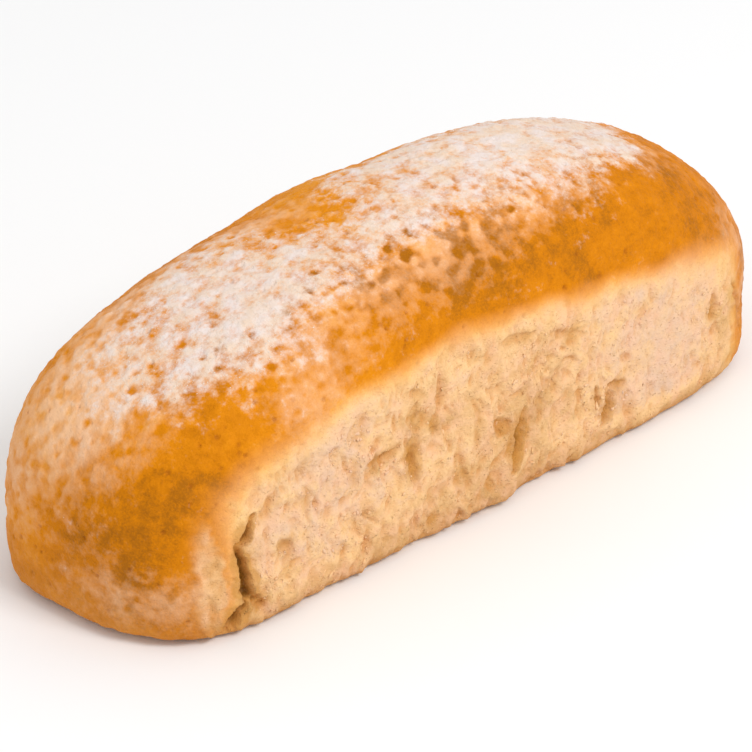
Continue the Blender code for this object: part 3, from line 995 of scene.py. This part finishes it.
crumb_values["torn"] = np.ones(CRUMB_COUNT)
crumb_values["tone"] = np.clip(tone.ravel()[chosen] + draw.uniform(-0.1, 0.2, CRUMB_COUNT), 0, 1)
crumb_mesh = scattered("crumbs", seat[:, None] + lumps, ball_faces, crumb_values)
crumb_mesh.materials.append(bread)
crumbs = bpy.data.objects.new("crumbs", crumb_mesh)
bpy.context.scene.collection.objects.link(crumbs)
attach(crumbs, "root")


# ---- Flour dust -----------------------------------------------------------------------------
# Clumped grains of white flour on the crown, a tenth to three quarters of a millimetre across,
# stuck to the skin and half sunk in it.

CLUMP_COUNT = 9500
CLUMP_SEED = 81
CLUMP_SIZE = (0.00008, 0.00024)  # half its width
CLUMP_SHAPE = (1.3, 1.0, 0.45)  # length, width and height
CLUMP_VARIES = (0.7, 1.3)
CLUMP_BUMPS = 0.35
CLUMP_LIMITS = (0.12, 0.02)  # least flour and height

draw = np.random.RandomState(CLUMP_SEED)
clump_chance = np.where((flour > CLUMP_LIMITS[0]) & (z > CLUMP_LIMITS[1]), flour, 0) ** 3
clump_chance = (clump_chance / clump_chance.sum()).ravel()
chosen = draw.choice(x.size, CLUMP_COUNT, replace=False, p=clump_chance)
seat, upright = loaf_skin.reshape(-1, 3)[chosen], skin_normal.reshape(-1, 3)[chosen]
beside = unit(np.cross(upright, draw.normal(size=(CLUMP_COUNT, 3))))
onward = np.cross(upright, beside)
half = draw.uniform(*CLUMP_SIZE, (CLUMP_COUNT, 1, 1))
half = half * draw.uniform(*CLUMP_VARIES, (CLUMP_COUNT, 1, 3))
ball_corners, ball_faces = ball(5, 3)
bumps = draw.uniform(-CLUMP_BUMPS, CLUMP_BUMPS, (CLUMP_COUNT, len(ball_corners), 1))
axes = np.stack((beside, onward, upright), 1) * np.array(CLUMP_SHAPE)[:, None]
grains = np.einsum("kci,kij->kcj", ball_corners * half * (1 + bumps), axes)
dust_mesh = scattered("flour_dust", seat[:, None] + grains, ball_faces, {})

# Wheat flour: a fine powder that scatters all light, so it is matt and nearly white
powder = bpy.data.materials.new("wheat_flour")
powder.use_nodes = True
tree = powder.node_tree
shader = tree.nodes["Principled BSDF"]
where = add(tree, "ShaderNodeTexCoord", output="Object")
drift = {"Vector": where, "Scale": 1 / 0.0030, "Detail": 2.0}
drift = add(tree, "ShaderNodeTexNoise", drift)
powder_stops = ((0.35, "#E0CDBB"), (0.65, "#EADDD2"))
white = add(tree, "ShaderNodeValToRGB", {"Fac": drift}, stops=powder_stops)
tree.links.new(white, shader.inputs["Base Color"])
shader.inputs["Roughness"].default_value = 0.95
shader.inputs["Specular IOR Level"].default_value = 0.1
dust_mesh.materials.append(powder)
dust = bpy.data.objects.new("flour_dust", dust_mesh)
bpy.context.scene.collection.objects.link(dust)
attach(dust, "root")


# ---- The studio -----------------------------------------------------------------------------
# A white sweep under a soft key light from above the camera's right, in an even white room, seen
# through a long lens from the photo's own place.

FLOOR_REACH = 3.0
FLOOR_LEVEL = -0.0001  # just clear of the base
floor_corners = np.array(((-1, -1), (1, -1), (1, 1), (-1, 1))) * FLOOR_REACH
floor_corners = np.column_stack((floor_corners, np.full(4, FLOOR_LEVEL)))
floor_mesh = bpy.data.meshes.new("floor")
floor_mesh.from_pydata(floor_corners.tolist(), [], [(0, 1, 2, 3)])
paper = bpy.data.materials.new("white_paper")
paper.use_nodes = True
paper.node_tree.nodes["Principled BSDF"].inputs["Base Color"].default_value = linear("#F4F4F4")
paper.node_tree.nodes["Principled BSDF"].inputs["Roughness"].default_value = 0.9
floor_mesh.materials.append(paper)
floor = bpy.data.objects.new("floor", floor_mesh)
bpy.context.scene.collection.objects.link(floor)
floor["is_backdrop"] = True

world = bpy.data.worlds.new("white_room")
world.use_nodes = True
world.node_tree.nodes["Background"].inputs["Color"].default_value = (1.0, 1.0, 1.0, 1.0)
world.node_tree.nodes["Background"].inputs["Strength"].default_value = 0.85
bpy.context.scene.world = world
bpy.context.scene.view_settings.view_transform = "Standard"


def aimed(thing, place, target):
    """Puts a camera or a light at place, looking at target, upright."""
    back = np.array(place) - np.array(target)
    back /= np.linalg.norm(back)
    right = np.cross((0.0, 0.0, 1.0), back)
    right /= np.linalg.norm(right)
    up = np.cross(back, right)
    for row in range(3):
        thing.matrix_world[row][0:4] = (right[row], up[row], back[row], place[row])
    bpy.context.scene.collection.objects.link(thing)


def off_axis(azimuth, elevation):
    """Unit direction towards an azimuth (0 towards -Y, a quarter turn towards +X) and elevation."""
    a, e = math.radians(azimuth), math.radians(elevation)
    return np.array((math.sin(a) * math.cos(e), -math.cos(a) * math.cos(e), math.sin(e)))


KEY_DIRECTION = (6, 48)  # azimuth and elevation
KEY_DISTANCE = 1.8
KEY_AIM = np.array((0.0, 0.0, 0.05))
key = bpy.data.lights.new("key", "AREA")
key.shape = "DISK"
key.size = 0.7
key.energy = 14.1
key_place = KEY_DISTANCE * off_axis(*KEY_DIRECTION) + KEY_AIM
aimed(bpy.data.objects.new("key", key), key_place, KEY_AIM)

# The photo's view: a long lens, from the left of the torn side and well above it
VIEW_AZIMUTH, VIEW_ELEVATION = -43.57, 30.62
VIEW_DISTANCE = 1.3947
VIEW_SLIDE = (-0.00671, -0.0201)  # to the right, and up
VIEW_FOCUS = 3817  # focal length in pixels of a frame this wide
FRAME_PIXELS = 752
view_back = off_axis(VIEW_AZIMUTH, VIEW_ELEVATION)
view_right = off_axis(VIEW_AZIMUTH + 90, 0)
view_up = np.cross(view_back, view_right)
target = np.array((0, 0, LOAF_HEIGHT / 2)) + VIEW_SLIDE[0] * view_right + VIEW_SLIDE[1] * view_up
lens = bpy.data.cameras.new("camera")
lens.sensor_width = 36.0
lens.lens = lens.sensor_width * VIEW_FOCUS / FRAME_PIXELS
camera = bpy.data.objects.new("camera", lens)
aimed(camera, target + VIEW_DISTANCE * view_back, target)
bpy.context.scene.camera = camera

bpy.context.view_layer.update()
